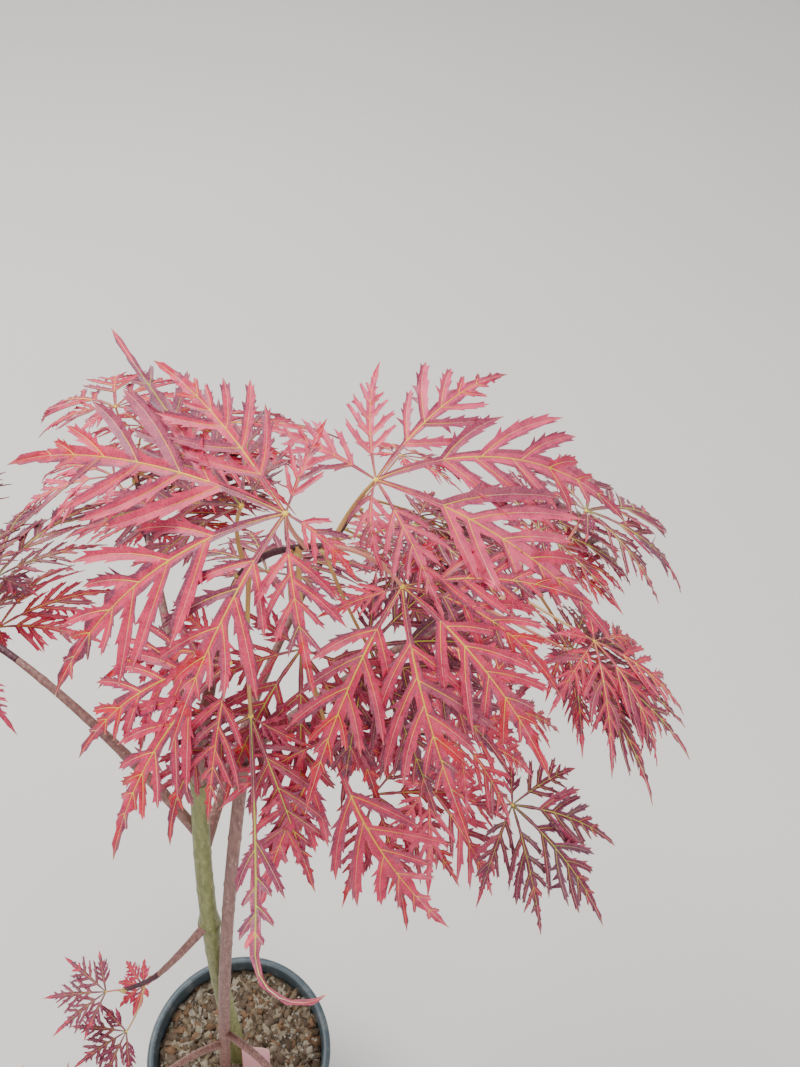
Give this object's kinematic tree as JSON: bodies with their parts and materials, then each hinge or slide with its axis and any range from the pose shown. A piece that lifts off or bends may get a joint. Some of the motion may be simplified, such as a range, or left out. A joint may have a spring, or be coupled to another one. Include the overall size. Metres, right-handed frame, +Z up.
{
  "type": "young potted cut-leaved japanese maple",
  "caption": "Young grafted cut-leaved Japanese maple with drooping crimson foliage, standing in a small round plastic nursery pot of bark and grit compost.",
  "frame": {"origin": "centre of the pot's flat underside", "axes": "+Z up the stems, -Y towards the viewer of the picture, +X to the viewer's right"},
  "size_m": [0.3358, 0.3617, 0.5872],
  "materials": {
    "pot": "satin moulded blue-black plastic",
    "compost": "loose bark chips and grit",
    "label": "blank pink plastic tag",
    "green_bark": "smooth green young bark",
    "brown_bark": "purple-brown young bark",
    "foliage": "crimson cut leaves with yellow veins"
  },
  "bodies": {
    "root": {"pot": "pot", "compost": "compost", "blank_label": "label", "trunk": "green_bark", "brown_stem": "brown_bark", "bough_leader": "brown_bark", "bough_left": "brown_bark", "bough_back_left": "brown_bark", "bough_back": "brown_bark", "bough_back_right": "brown_bark", "bough_front_left": "brown_bark", "bough_front_right": "brown_bark", "bough_graft_shoot": "brown_bark", "leaves_top": "foliage", "leaves_graft_shoot": "foliage", "leaves_under": "foliage", "leaves_left": "foliage", "leaves_back_left": "foliage", "leaves_back": "foliage", "leaves_back_right": "foliage", "leaves_front_left": "foliage", "leaves_front_right": "foliage"}
  },
  "joints": []
}
